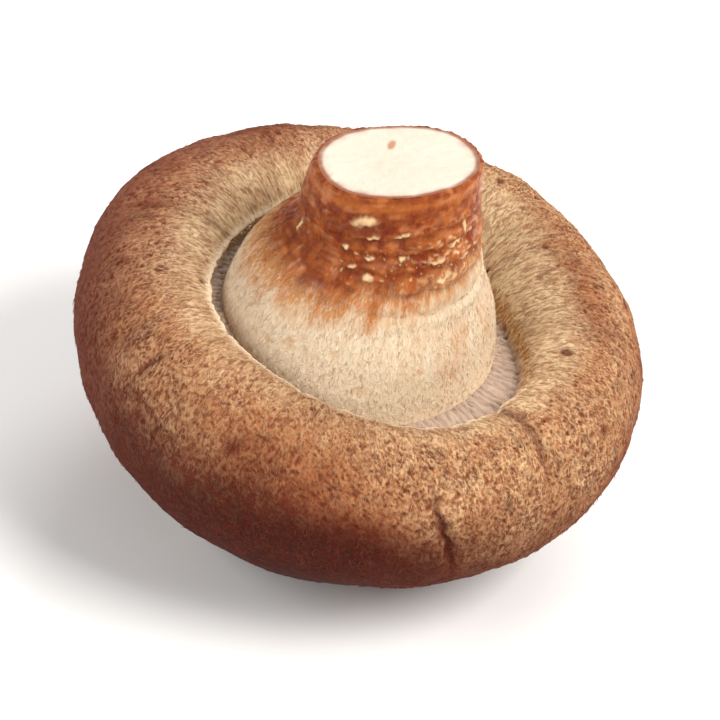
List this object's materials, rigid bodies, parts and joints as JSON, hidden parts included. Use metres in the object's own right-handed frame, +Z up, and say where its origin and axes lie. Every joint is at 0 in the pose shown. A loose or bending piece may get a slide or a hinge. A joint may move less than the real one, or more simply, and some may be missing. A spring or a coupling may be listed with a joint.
{
  "type": "shiitake mushroom",
  "caption": "Whole fresh mushroom lying upturned on its cap: thick cap with a felted, inrolled margin and a short stalk cut at a slant.",
  "frame": {"origin": "middle of the small flat spot on the crown of the cap, where the mushroom rests", "axes": "+Z up, out of the crown's flat spot through the cap and towards the cut end of the stalk; +X to the side the stalk leans to; -Y towards the viewer"},
  "size_m": [0.0517, 0.051, 0.0406],
  "materials": {
    "mushroom_flesh": "matte, felted"
  },
  "bodies": {
    "root": {"shiitake_mushroom": "mushroom_flesh"}
  },
  "joints": []
}
